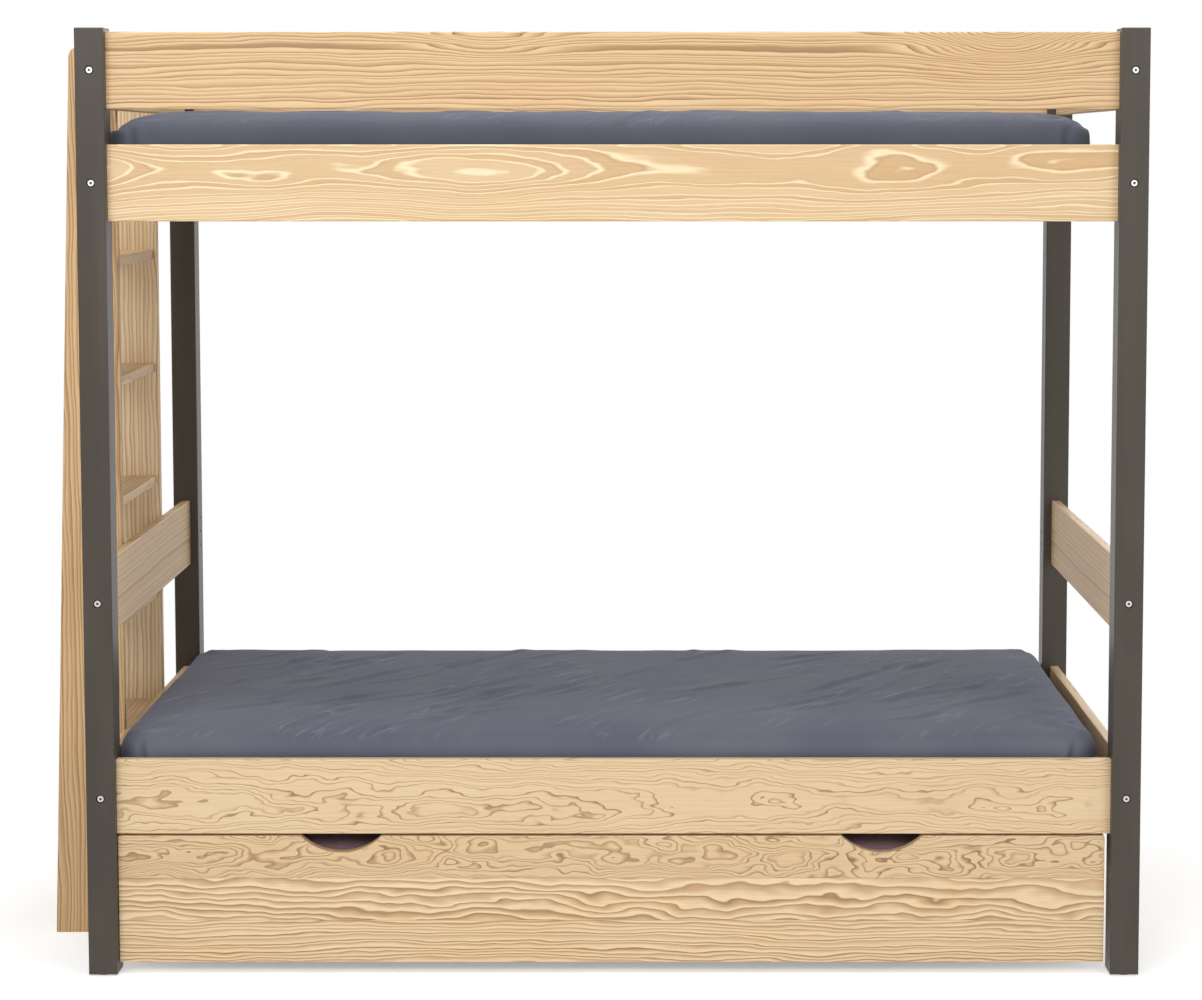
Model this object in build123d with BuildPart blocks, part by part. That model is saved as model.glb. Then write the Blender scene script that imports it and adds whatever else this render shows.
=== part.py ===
from build123d import *
from math import cos, radians, sin
import os

os.makedirs("parts", exist_ok=True)

# Bunk bed with a trundle, in millimetres
# X runs along the bed, with the ladder at the low end, Y runs from front to back, and Z is up
# The origin is on the floor, in the middle of the space that the bed and its ladder take

# Overall size, measured over the posts
length = 2087.0
depth = 982.0
height = 1875.0

# Posts and the glides under them
post_side = 57.0
post_edge_radius = 2.5
glide_thick = 3.0
glide_radius = 22.0
glide_stem_radius = 3.0
glide_stem_length = 16.0

# Boards of the rails and guards
board_thick = 20.0
board_height = 150.0
board_edge_radius = 3.0
guard_drop = 7.0
guard_gap = 69.0
lower_rail_bottom = 282.0
lower_guard_gap = 240.0

# Bolts with barrel nuts, and dowels, at each end of a board
joint_pitch = 64.0
bolt_radius = 3.0
bolt_play = 0.5
bolt_head_radius = 6.75
bolt_head_thick = 3.7
bolt_head_bevel = 0.7
bolt_socket_flats = 5.0
bolt_socket_depth = 2.4
sink_radius = 8.75
sink_depth = 4.5
nut_radius = 5.0
nut_length = 14.0
nut_setback = 32.0
bolt_past_nut = 4.0
dowel_radius = 4.0
dowel_length = 38.0
hole_end_gap = 1.0
fit = 0.05

# Wood screws: head and shank
screw_head_radius = 4.0
screw_radius = 2.0
screw_bite = 12.0
pan_head_thick = 2.0

# Cleats inside the long rails, and the slats across them
cleat_side = 25.0
upper_cleat_lift = 10.0
cleat_end_gap = 2.0
cleat_screw_count = 7
cleat_screw_margin = 150.0
slat_count = 14
slat_width = 70.0
slat_thick = 18.0
slat_end_gap = 2.0
slat_margin = 12.0
strap_width = 30.0
strap_thick = 1.0
strap_spread = 500.0

# Mattresses in fitted sheets, with the length and width that they leave free in their frame
mattress_thick = 150.0
mattress_spare_length = 65.0
mattress_spare_width = 15.0
lower_mattress_shift = -5.5
upper_mattress_shift = -26.5
mattress_corner_radius = 60.0
mattress_edge_radius = 32.0
mattress_foot_radius = 14.0
mattress_draw = 3.0
mattress_crown = 4.0
soft_gap = 0.3

# Ladder against the low end
stile_thick = 20.0
stile_foot_width = 150.0
stile_top_width = 95.0
stile_top_drop = 25.0
stile_corner_radius = 22.0
ladder_width = 420.0
tread_count = 6
tread_thick = 20.0
tread_top = 157.0
tread_pitch = 252.0
tread_inset = 7.5
housing_depth = 5.0
tread_dowel_bite = 10.0
tread_dowel_length = 28.0
tread_dowel_pitch = 50.0
ladder_screw_pitch = 80.0
ladder_screw_length = 60.0

# Trundle
trundle_side_gap = 5.5
trundle_shift = -4.7
panel_bottom = 22.0
panel_top_gap = 4.0
grip_spread = 1076.0
grip_width = 163.0
grip_depth = 34.0
box_inset = 14.0
box_depth = 942.5
box_height = 144.0
box_board_thick = 20.0
box_screw_pitch = 50.0
box_dowel_length = 36.0
box_dowel_bite = 12.0
box_screw_length = 50.0
block_screw_bite = 24.0
box_slat_end_gap = 1.0
trundle_mattress_thick = 135.0
trundle_spare_length = 14.0
trundle_spare_width = 17.0

# Casters
wheel_radius = 25.0
wheel_width = 18.0
wheel_rim = 8.0
wheel_dish = 3.0
wheel_edge_radius = 2.5
wheel_head_room = 4.0
wheel_side_gap = 1.0
axle_radius = 4.0
axle_head_radius = 6.0
axle_head_thick = 1.5
bracket_steel = 2.0
bracket_width = 55.0
bracket_length = 70.0
bracket_screw_x = 40.0
bracket_screw_y = 50.0
fork_foot_radius = 8.0
fork_root_width = 46.0
caster_block_width = 45.0
caster_inset = 95.0

# Places that follow from the sizes
LEFT, RIGHT = -1, 1
FRONT, BACK = -1, 1
ladder_stand_out = stile_foot_width - (post_side - board_thick) / 2
bed_x = ladder_stand_out / 2
between_posts_x = length - 2 * post_side
between_posts_y = depth - 2 * post_side
post_x = {side: bed_x + side * (length - post_side) / 2 for side in (LEFT, RIGHT)}
post_y = {face: face * (depth - post_side) / 2 for face in (FRONT, BACK)}

upper_guard_z = height - guard_drop - board_height / 2
upper_rail_z = upper_guard_z - board_height - guard_gap
lower_rail_z = lower_rail_bottom + board_height / 2
lower_guard_z = lower_rail_z + board_height + lower_guard_gap
long_levels = {"upper_guard": upper_guard_z, "upper_rail": upper_rail_z, "lower_rail": lower_rail_z}
end_levels = {**long_levels, "lower_guard": lower_guard_z}
pair = (-joint_pitch / 2, joint_pitch / 2)

inner_length = length - post_side - board_thick
inner_width = depth - post_side - board_thick
cleat_length = between_posts_x - 2 * cleat_end_gap
upper_cleat_bottom = upper_rail_z - board_height / 2 + upper_cleat_lift
lower_cleat_bottom = lower_rail_bottom

box_bottom = 2 * wheel_radius + wheel_head_room + bracket_steel
trundle_x = bed_x + trundle_shift
panel_width = between_posts_x - 2 * trundle_side_gap
panel_height = lower_rail_bottom - panel_top_gap - panel_bottom
panel_front = post_y[FRONT] - board_thick / 2
panel_back = panel_front + board_thick
box_back = panel_front + box_depth
box_half = panel_width / 2 - box_inset
box_inner_half = box_half - box_board_thick
box_inner_back = box_back - box_board_thick
box_inner_width = box_inner_back - panel_back
box_middle_y = (panel_back + box_inner_back) / 2
box_side_z = box_bottom + box_height / 2

bolt_hole_radius = bolt_radius + bolt_play
bolt_reach = nut_setback + nut_radius + bolt_past_nut
bolt_length = post_side - sink_depth + bolt_reach
dowel_bite = dowel_length / 2 + hole_end_gap
screw_hole = screw_radius + fit
screw_head_depth = screw_head_radius - screw_radius


def facing(x, y, z, direction):
    """A plane through a point, with its normal along the direction."""
    return Plane(origin=(x, y, z), z_dir=direction)


def save(piece, name):
    """Labels a finished piece and writes its file."""
    piece.part.label = name
    export_step(piece.part, f"parts/{name}.step")


# Where the boards meet the posts: each plane's normal points out of its hole


def side_bolt_places(face, levels, offset):
    """Bolts along X, on the planes that stand offset in from the posts' end faces."""
    return [
        facing(post_x[side] + side * (post_side / 2 - offset), post_y[face], z + dz, (side, 0, 0))
        for side in (LEFT, RIGHT)
        for z in levels
        for dz in pair
    ]


def end_bolt_places(side, levels, offset):
    """Bolts along Y, on the planes that stand offset in from the posts' front and back faces."""
    return [
        facing(post_x[side], post_y[face] + face * (post_side / 2 - offset), z, (0, face, 0))
        for face in (FRONT, BACK)
        for z in levels
    ]


def nut_places_long(face, z, side):
    """Barrel nuts of one end of a long board, on its inner face."""
    x = bed_x + side * (between_posts_x / 2 - nut_setback)
    y = post_y[face] - face * board_thick / 2
    return [facing(x, y, z + dz, (0, -face, 0)) for dz in pair]


def nut_places_end(side, z, face):
    """The barrel nut of one end of an end board, on its inner face."""
    x = post_x[side] - side * board_thick / 2
    y = face * (between_posts_y / 2 - nut_setback)
    return [facing(x, y, z, (-side, 0, 0))]


# Screws: a place is the plane of the head's top, with its normal out of the wood


def cleat_screw_places(y, z, face, centre, span):
    """Screws along a cleat, on its inner face at y."""
    step = (span - 2 * cleat_screw_margin) / (cleat_screw_count - 1)
    first = centre - span / 2 + cleat_screw_margin
    return [facing(first + i * step, y, z, (0, -face, 0)) for i in range(cleat_screw_count)]


def end_slat_places(centre, span, y_middle, y_spread, z):
    """The two screws in each of the first and the last slat."""
    reach = (span - slat_width) / 2
    return [
        facing(centre + side * reach, y_middle + face * y_spread / 2, z, (0, 0, 1))
        for side in (LEFT, RIGHT)
        for face in (FRONT, BACK)
    ]


def rail_cleat_screws(face, cleat_bottom):
    y = face * (inner_width / 2 - cleat_side)
    return cleat_screw_places(y, cleat_bottom + cleat_side / 2, face, bed_x, cleat_length)


def bed_slat_span():
    return between_posts_x - 2 * slat_margin


def bed_slat_screws(cleat_bottom):
    z = cleat_bottom + cleat_side + slat_thick
    return end_slat_places(bed_x, bed_slat_span(), 0, inner_width - cleat_side, z)


def add_screws(places, screw_length):
    """Countersunk screws in the part being built, flush with their planes."""
    with Locations(*places):
        top = (Align.CENTER, Align.CENTER, Align.MAX)
        Cylinder(screw_radius, screw_length, align=top)
        Cone(screw_radius, screw_head_radius, screw_head_depth, align=top)


def sink_screws(places, hole_depth):
    """Countersunk holes for those screws in the part being built."""
    with Locations(*places):
        CounterSinkHole(screw_hole, screw_head_radius + fit, depth=hole_depth, counter_sink_angle=90)


def pilot_screws(places, skipped, hole_depth):
    """Plain holes for screws that first pass through another piece, which is skipped thick."""
    with Locations(*[place.offset(-skipped) for place in places]):
        Hole(screw_hole, depth=hole_depth)


# Posts: square, edges eased, with a counterbored hole for each bolt and a blind one for each dowel


def make_post(side, face):
    x, y = post_x[side], post_y[face]
    inner_x = x - side * post_side / 2
    inner_y = y - face * post_side / 2
    # The back posts are also bored for a lower back guard
    levels = list(end_levels.values()) if face == BACK else list(long_levels.values())
    side_bolts = [place for place in side_bolt_places(face, levels, 0) if place.z_dir.X * side > 0]
    end_bolts = [place for place in end_bolt_places(side, end_levels.values(), 0) if place.z_dir.Y * face > 0]
    side_dowels = [facing(inner_x, y, z, (-side, 0, 0)) for z in levels]
    end_dowels = [facing(x, inner_y, z + dz, (0, -face, 0)) for z in end_levels.values() for dz in pair]
    with BuildPart() as post:
        with BuildSketch(Plane.XY.offset(glide_thick)):
            with Locations((x, y)):
                RectangleRounded(post_side, post_side, post_edge_radius)
        extrude(amount=height - glide_thick)
        chamfer(post.faces().sort_by(Axis.Z)[-1].edges(), post_edge_radius / 2)
        with Locations(*side_bolts, *end_bolts):
            CounterBoreHole(bolt_hole_radius, sink_radius, sink_depth)
        with Locations(*side_dowels, *end_dowels):
            Hole(dowel_radius + fit, depth=dowel_bite)
        with Locations(facing(x, y, glide_thick, (0, 0, -1))):
            Hole(glide_stem_radius + fit, depth=glide_stem_length + hole_end_gap)
    return post


side_names = {LEFT: "left", RIGHT: "right"}
face_names = {FRONT: "front", BACK: "back"}
corners = [(side, face) for side in (LEFT, RIGHT) for face in (FRONT, BACK)]
for side, face in corners:
    save(make_post(side, face), f"post_{face_names[face]}_{side_names[side]}")

# Glides: round pads with a stem that is pressed up into the post
with BuildPart() as glides:
    with Locations(*[(post_x[side], post_y[face], 0) for side, face in corners]):
        low = (Align.CENTER, Align.CENTER, Align.MIN)
        Cylinder(glide_radius, glide_thick, align=low)
        Cylinder(glide_stem_radius, glide_thick + glide_stem_length, align=low)
save(glides, "glides")


# Long boards: rails and guards between the posts, with the holes of their joints


def make_long_board(face, z, cleat_bottom=None):
    start = bed_x - between_posts_x / 2
    section = Plane(origin=(start, post_y[face], z), x_dir=(0, 1, 0), z_dir=(1, 0, 0))
    ends = {side: bed_x + side * between_posts_x / 2 for side in (LEFT, RIGHT)}
    bolts = [facing(x, post_y[face], z + dz, (side, 0, 0)) for side, x in ends.items() for dz in pair]
    dowels = [facing(x, post_y[face], z, (side, 0, 0)) for side, x in ends.items()]
    nuts = nut_places_long(face, z, LEFT) + nut_places_long(face, z, RIGHT)
    with BuildPart() as board:
        with BuildSketch(section):
            RectangleRounded(board_thick, board_height, board_edge_radius)
        extrude(amount=between_posts_x)
        with Locations(*bolts):
            Hole(bolt_hole_radius, depth=bolt_reach + hole_end_gap)
        with Locations(*dowels):
            Hole(dowel_radius + fit, depth=dowel_bite)
        with Locations(*nuts):
            Hole(nut_radius + fit, depth=(board_thick + nut_length) / 2)
        if cleat_bottom is not None:
            pilot_screws(rail_cleat_screws(face, cleat_bottom), cleat_side, screw_bite + hole_end_gap)
    return board


cleat_bottoms = {"upper_rail": upper_cleat_bottom, "lower_rail": lower_cleat_bottom}
for level, z in long_levels.items():
    for face in (FRONT, BACK):
        save(make_long_board(face, z, cleat_bottoms.get(level)), f"{level}_{face_names[face]}")


# Ladder places: the stiles stand against the outer faces of the left end boards

stile_x = post_x[LEFT] - board_thick / 2
stile_top = height - stile_top_drop
stile_y = {face: face * (ladder_width - stile_thick) / 2 for face in (FRONT, BACK)}
tread_tops = [tread_top + i * tread_pitch for i in range(tread_count)]
tread_span = ladder_width - 2 * stile_thick


def stile_width(z):
    """The stile's width at a height: its outer edge leans in towards the top."""
    return stile_foot_width + (stile_top_width - stile_foot_width) * z / stile_top


def ladder_screws_at(z):
    """Four screws through an end board into the stiles, from the board's inner face."""
    return [
        facing(stile_x + board_thick, stile_y[face], z + rise * ladder_screw_pitch / 2, (1, 0, 0))
        for face in (FRONT, BACK)
        for rise in (-1, 1)
    ]


ladder_fixings = {"upper_rail": ladder_screws_at(upper_rail_z), "lower_rail": ladder_screws_at(lower_rail_z)}


# End boards: rails and guards across the bed's ends


def make_end_board(side, z, fixings=()):
    section = Plane(origin=(post_x[side], -between_posts_y / 2, z), x_dir=(1, 0, 0), z_dir=(0, 1, 0))
    x = post_x[side]
    ends = {face: face * between_posts_y / 2 for face in (FRONT, BACK)}
    bolts = [facing(x, y, z, (0, face, 0)) for face, y in ends.items()]
    dowels = [facing(x, y, z + dz, (0, face, 0)) for face, y in ends.items() for dz in pair]
    nuts = nut_places_end(side, z, FRONT) + nut_places_end(side, z, BACK)
    with BuildPart() as board:
        with BuildSketch(section):
            RectangleRounded(board_thick, board_height, board_edge_radius)
        extrude(amount=between_posts_y)
        with Locations(*bolts):
            Hole(bolt_hole_radius, depth=bolt_reach + hole_end_gap)
        with Locations(*dowels):
            Hole(dowel_radius + fit, depth=dowel_bite)
        with Locations(*nuts):
            Hole(nut_radius + fit, depth=(board_thick + nut_length) / 2)
        if fixings:
            sink_screws(fixings, board_thick)
    return board


for level, z in end_levels.items():
    for side in (LEFT, RIGHT):
        fixings = ladder_fixings.get(level, ()) if side == LEFT else ()
        save(make_end_board(side, z, fixings), f"{level}_{side_names[side]}")


# Bolts, barrel nuts and dowels of the frame


def make_bolts(seats):
    """Flat-headed bolts with a hexagon socket, their heads seated on the given planes."""
    rims = [seat.offset(bolt_head_thick - bolt_head_bevel) for seat in seats]
    tops = [seat.offset(bolt_head_thick) for seat in seats]
    with BuildPart() as bolts:
        with Locations(*seats):
            up = (Align.CENTER, Align.CENTER, Align.MIN)
            Cylinder(bolt_head_radius, bolt_head_thick - bolt_head_bevel, align=up)
            Cylinder(bolt_radius, bolt_length, align=(Align.CENTER, Align.CENTER, Align.MAX))
        with Locations(*rims):
            Cone(bolt_head_radius, bolt_head_radius - bolt_head_bevel, bolt_head_bevel, align=up)
        with BuildSketch(*tops):
            RegularPolygon(bolt_socket_flats / 2, 6, major_radius=False)
        extrude(amount=-bolt_socket_depth, mode=Mode.SUBTRACT)
    return bolts


side_seats = []
for face in (FRONT, BACK):
    side_seats += side_bolt_places(face, long_levels.values(), sink_depth)
end_seats = []
for side in (LEFT, RIGHT):
    end_seats += end_bolt_places(side, end_levels.values(), sink_depth)
save(make_bolts(side_seats), "side_board_bolts")
save(make_bolts(end_seats), "end_board_bolts")

long_nuts = [
    place
    for z in long_levels.values()
    for side, face in corners
    for place in nut_places_long(face, z, side)
]
end_nuts = [
    place
    for z in end_levels.values()
    for side, face in corners
    for place in nut_places_end(side, z, face)
]
nut_centres = [place.offset(-board_thick / 2) for place in long_nuts + end_nuts]
with BuildPart() as barrel_nuts:
    with Locations(*nut_centres):
        Cylinder(nut_radius, nut_length)
    # The thread crosses the nut along the board
    with Locations(*[facing(*place.origin, (1, 0, 0)) for place in nut_centres[: len(long_nuts)]]):
        Cylinder(bolt_radius + fit, 2 * nut_radius, mode=Mode.SUBTRACT)
    with Locations(*[facing(*place.origin, (0, 1, 0)) for place in nut_centres[len(long_nuts) :]]):
        Cylinder(bolt_radius + fit, 2 * nut_radius, mode=Mode.SUBTRACT)
save(barrel_nuts, "barrel_nuts")

side_dowels = [
    facing(bed_x + side * between_posts_x / 2, post_y[face], z, (1, 0, 0))
    for z in long_levels.values()
    for side, face in corners
]
end_dowels = [
    facing(post_x[side], face * between_posts_y / 2, z + dz, (0, 1, 0))
    for z in end_levels.values()
    for side, face in corners
    for dz in pair
]
with BuildPart() as frame_dowels:
    with Locations(*side_dowels, *end_dowels):
        Cylinder(dowel_radius, dowel_length)
save(frame_dowels, "frame_dowels")


# Cleats along the long rails, with the slats across them


def make_cleat(face, bottom):
    y = face * (inner_width - cleat_side) / 2
    z = bottom + cleat_side / 2
    section = Plane(origin=(bed_x - cleat_length / 2, y, z), x_dir=(0, 1, 0), z_dir=(1, 0, 0))
    top_screws = [place for place in bed_slat_screws(bottom) if place.origin.Y * face > 0]
    with BuildPart() as cleat:
        with BuildSketch(section):
            Rectangle(cleat_side, cleat_side)
        extrude(amount=cleat_length)
        sink_screws(rail_cleat_screws(face, bottom), cleat_side)
        pilot_screws(top_screws, slat_thick, screw_bite + hole_end_gap)
    return cleat


def make_slats(centre_x, centre_y, bottom, span, slat_length, screws):
    pitch = (span - slat_width) / (slat_count - 1)
    with BuildPart() as slats:
        with BuildSketch(Plane(origin=(centre_x, centre_y, bottom))):
            with GridLocations(pitch, 0, slat_count, 1):
                Rectangle(slat_width, slat_length)
        extrude(amount=slat_thick)
        sink_screws(screws, slat_thick)
    return slats


cleat_levels = {"upper": upper_cleat_bottom, "lower": lower_cleat_bottom}
slat_length = inner_width - 2 * slat_end_gap
for level, bottom in cleat_levels.items():
    for face in (FRONT, BACK):
        save(make_cleat(face, bottom), f"{level}_cleat_{face_names[face]}")
    slats = make_slats(bed_x, 0, bottom + cleat_side, bed_slat_span(), slat_length, bed_slat_screws(bottom))
    save(slats, f"{level}_slats")

# Two webbing straps under each bed's slats hold their spacing
with BuildPart() as slat_straps:
    for bottom in cleat_levels.values():
        with BuildSketch(Plane(origin=(bed_x, 0, bottom + cleat_side))):
            with GridLocations(0, strap_spread, 1, 2):
                Rectangle(bed_slat_span(), strap_width)
        extrude(amount=-strap_thick)
save(slat_straps, "slat_straps")

with BuildPart() as slat_screws:
    for bottom in cleat_levels.values():
        for face in (FRONT, BACK):
            add_screws(rail_cleat_screws(face, bottom), cleat_side + screw_bite)
        add_screws(bed_slat_screws(bottom), slat_thick + screw_bite)
save(slat_screws, "slat_frame_screws")


# Mattresses: rounded foam in a fitted sheet, drawn in at the edges and crowned on top


def mattress_sections(thick):
    """Height over the bottom and inset from the full outline, from the bottom to the crown."""
    foot, edge, draw = mattress_foot_radius, mattress_edge_radius, mattress_draw
    sections = []
    for angle in (0, 45, 90):
        turn = radians(angle)
        sections.append((foot * (1 - cos(turn)), draw + foot * (1 - sin(turn))))
    sections.append((thick / 2, 0))
    for angle in (0, 30, 60, 85):
        turn = radians(angle)
        sections.append((thick - edge * (1 - sin(turn)), draw + edge * (1 - cos(turn))))
    sections.append((thick + mattress_crown * 0.6, 4 * edge))
    sections.append((thick + mattress_crown, 8 * edge))
    return sections


def make_mattress(centre_x, centre_y, bottom, long_side, short_side, thick):
    with BuildPart() as mattress:
        for rise, inset in mattress_sections(thick):
            with BuildSketch(Plane(origin=(centre_x, centre_y, bottom + rise))):
                corner = max(mattress_corner_radius - inset, mattress_corner_radius / 2)
                RectangleRounded(long_side - 2 * inset, short_side - 2 * inset, corner)
        loft(ruled=True)
    return mattress


mattress_length = inner_length - mattress_spare_length
mattress_width = inner_width - mattress_spare_width
mattress_shifts = {"upper": upper_mattress_shift, "lower": lower_mattress_shift}
for level, shift in mattress_shifts.items():
    bottom = cleat_levels[level] + cleat_side + slat_thick + soft_gap
    mattress = make_mattress(bed_x + shift, 0, bottom, mattress_length, mattress_width, mattress_thick)
    save(mattress, f"{level}_mattress")


# Ladder: tapered stiles, and treads housed and dowelled into them


def tread_section(top):
    """Centre and size of a tread across the stile, seen from the front."""
    width = stile_width(top - tread_thick / 2) - 2 * tread_inset
    return (stile_x - tread_inset - width / 2, top - tread_thick / 2), width


def tread_dowel_places(face, tops):
    """Dowels in one end of each tread, on the floor of its housing."""
    y = face * (tread_span / 2 + housing_depth)
    places = []
    for top in tops:
        (x, z), _ = tread_section(top)
        for half in (-tread_dowel_pitch / 2, tread_dowel_pitch / 2):
            places.append(facing(x + half, y, z, (0, face, 0)))
    return places


def make_stile(face):
    inner_y = face * tread_span / 2
    # Seen from the front: X to the right, Z up, and the board runs back from the plane
    profile = Plane(origin=(0, stile_y[face] + stile_thick / 2, 0), x_dir=(1, 0, 0), z_dir=(0, -1, 0))
    housing = Plane(origin=(0, inner_y, 0), x_dir=(1, 0, 0), z_dir=(0, -1, 0))
    screws = ladder_fixings["upper_rail"] + ladder_fixings["lower_rail"]
    own_screws = [place for place in screws if place.origin.Y * face > 0]
    dowels = tread_dowel_places(face, tread_tops)
    housing_floors = [facing(*place.origin, (0, -face, 0)) for place in dowels]
    with BuildPart() as stile:
        with BuildSketch(profile) as outline:
            with BuildLine():
                Polyline(
                    (stile_x, 0),
                    (stile_x - stile_foot_width, 0),
                    (stile_x - stile_top_width, stile_top),
                    (stile_x, stile_top),
                    close=True,
                )
            make_face()
            top_corners = outline.vertices().group_by(Axis.Y)[-1]
            fillet(top_corners.sort_by(Axis.X)[0], stile_corner_radius)
        extrude(amount=stile_thick)
        fillet(stile.edges().filter_by(Axis.Y, reverse=True), board_edge_radius / 2)
        with BuildSketch(housing):
            for top in tread_tops:
                centre, width = tread_section(top)
                with Locations(centre):
                    Rectangle(width + 2 * fit, tread_thick + 2 * fit)
        extrude(amount=-face * housing_depth, mode=Mode.SUBTRACT)
        with Locations(*housing_floors):
            Hole(dowel_radius + fit, depth=tread_dowel_bite)
        pilot_screws(own_screws, board_thick, ladder_screw_length - board_thick + hole_end_gap)
    return stile


def make_tread(top):
    (x, z), width = tread_section(top)
    tread_length = tread_span + 2 * housing_depth
    section = Plane(origin=(x, -tread_length / 2, z), x_dir=(1, 0, 0), z_dir=(0, 1, 0))
    dowels = tread_dowel_places(FRONT, [top]) + tread_dowel_places(BACK, [top])
    with BuildPart() as tread:
        with BuildSketch(section):
            RectangleRounded(width, tread_thick, board_edge_radius)
        extrude(amount=tread_length)
        with Locations(*dowels):
            Hole(dowel_radius + fit, depth=tread_dowel_length - tread_dowel_bite + hole_end_gap)
    return tread


for face in (FRONT, BACK):
    save(make_stile(face), f"ladder_stile_{face_names[face]}")
for number, top in enumerate(tread_tops, start=1):
    save(make_tread(top), f"ladder_tread_{number}")

tread_dowels = tread_dowel_places(FRONT, tread_tops) + tread_dowel_places(BACK, tread_tops)
with BuildPart() as ladder_dowels:
    with Locations(*[place.offset(tread_dowel_bite) for place in tread_dowels]):
        Cylinder(dowel_radius, tread_dowel_length, align=(Align.CENTER, Align.CENTER, Align.MAX))
save(ladder_dowels, "ladder_dowels")

with BuildPart() as ladder_screws:
    add_screws(ladder_fixings["upper_rail"] + ladder_fixings["lower_rail"], ladder_screw_length)
save(ladder_screws, "ladder_screws")


# Trundle places

grip_radius = (grip_width**2 / 4 + grip_depth**2) / (2 * grip_depth)
panel_z = panel_bottom + panel_height / 2
box_rises = (-box_screw_pitch, 0, box_screw_pitch)
box_cleat_length = 2 * box_inner_half - 2 * box_slat_end_gap
box_cleat_z = box_bottom + cleat_side / 2
box_slat_bottom = box_bottom + cleat_side
box_slat_span = 2 * box_inner_half - 2 * slat_margin
box_cleat_faces = {FRONT: panel_back, BACK: box_inner_back}
box_cleat_screws = {
    face: cleat_screw_places(wall - face * cleat_side, box_cleat_z, face, trundle_x, box_cleat_length)
    for face, wall in box_cleat_faces.items()
}
box_slat_screws = end_slat_places(
    trundle_x, box_slat_span, box_middle_y, box_inner_width - cleat_side, box_slat_bottom + slat_thick
)
box_side_x = {side: trundle_x + side * (box_half - box_board_thick / 2) for side in (LEFT, RIGHT)}
panel_dowels = {
    side: [facing(box_side_x[side], panel_back, box_side_z + rise, (0, 1, 0)) for rise in box_rises]
    for side in (LEFT, RIGHT)
}
back_screws = {
    side: [facing(box_side_x[side], box_back, box_side_z + rise, (0, 1, 0)) for rise in box_rises]
    for side in (LEFT, RIGHT)
}

# Casters: one under each corner block, its wheel turning about X
caster_x = {side: trundle_x + side * (box_half - bracket_width / 2) for side in (LEFT, RIGHT)}
caster_y = {FRONT: panel_back + caster_inset, BACK: box_inner_back - caster_inset}
plate_bottom = box_bottom - bracket_steel
block_x = {side: trundle_x + side * (box_inner_half - caster_block_width / 2) for side in (LEFT, RIGHT)}
block_screws = {
    (side, face): [
        facing(trundle_x + side * box_half, caster_y[face] + dy, box_cleat_z, (side, 0, 0))
        for dy in (-bracket_screw_y / 4, bracket_screw_y / 4)
    ]
    for side, face in corners
}
bracket_screws = {
    (side, face): [
        facing(caster_x[side] + dx, caster_y[face] + dy, plate_bottom, (0, 0, -1))
        for dx in (-bracket_screw_x / 2, bracket_screw_x / 2)
        for dy in (-bracket_screw_y / 2, bracket_screw_y / 2)
    ]
    for side, face in corners
}

# Trundle front panel, with two half-moon grips cut in its top edge
with BuildPart() as trundle_front_panel:
    with BuildSketch(Plane(origin=(trundle_x, panel_back, panel_z), x_dir=(1, 0, 0), z_dir=(0, -1, 0))):
        RectangleRounded(panel_width, panel_height, board_edge_radius)
        with Locations((0, panel_height / 2 + grip_radius - grip_depth)):
            with GridLocations(grip_spread, 0, 2, 1):
                Circle(grip_radius, mode=Mode.SUBTRACT)
    extrude(amount=board_thick)
    fillet(trundle_front_panel.faces().sort_by(Axis.Y)[0].edges(), board_edge_radius / 2)
    with Locations(*panel_dowels[LEFT], *panel_dowels[RIGHT]):
        Hole(dowel_radius + fit, depth=box_dowel_bite)
    pilot_screws(box_cleat_screws[FRONT], cleat_side, screw_bite + hole_end_gap)
save(trundle_front_panel, "trundle_front_panel")

with BuildPart() as trundle_back_panel:
    with BuildSketch(Plane(origin=(trundle_x, box_back, box_side_z), x_dir=(1, 0, 0), z_dir=(0, -1, 0))):
        RectangleRounded(2 * box_half, box_height, board_edge_radius)
    extrude(amount=box_board_thick)
    sink_screws(back_screws[LEFT] + back_screws[RIGHT], box_board_thick)
    pilot_screws(box_cleat_screws[BACK], cleat_side, screw_bite + hole_end_gap)
save(trundle_back_panel, "trundle_back_panel")


def own_screws(screws, side):
    """The caster screws of one side of the box, front and back together."""
    return screws[side, FRONT] + screws[side, BACK]


def in_side_board(side):
    """The bracket screws that go up into the side board, and not into the blocks."""
    places = own_screws(bracket_screws, side)
    return [place for place in places if abs(place.origin.X - trundle_x) > box_inner_half]


def in_blocks(side):
    """The bracket screws that go up into the blocks."""
    places = own_screws(bracket_screws, side)
    return [place for place in places if abs(place.origin.X - trundle_x) < box_inner_half]


def make_box_side(side):
    section = Plane(origin=(box_side_x[side], panel_back, box_side_z), x_dir=(1, 0, 0), z_dir=(0, 1, 0))
    front_ends = [facing(*place.origin, (0, -1, 0)) for place in panel_dowels[side]]
    with BuildPart() as board:
        with BuildSketch(section):
            RectangleRounded(box_board_thick, box_height, board_edge_radius)
        extrude(amount=box_inner_width)
        with Locations(*front_ends):
            Hole(dowel_radius + fit, depth=box_dowel_length - box_dowel_bite + hole_end_gap)
        pilot_screws(back_screws[side], box_board_thick, box_screw_length - box_board_thick + hole_end_gap)
        sink_screws(own_screws(block_screws, side), box_board_thick)
        pilot_screws(in_side_board(side), bracket_steel, screw_bite + hole_end_gap)
    return board


for side in (LEFT, RIGHT):
    save(make_box_side(side), f"trundle_side_{side_names[side]}")

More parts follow.
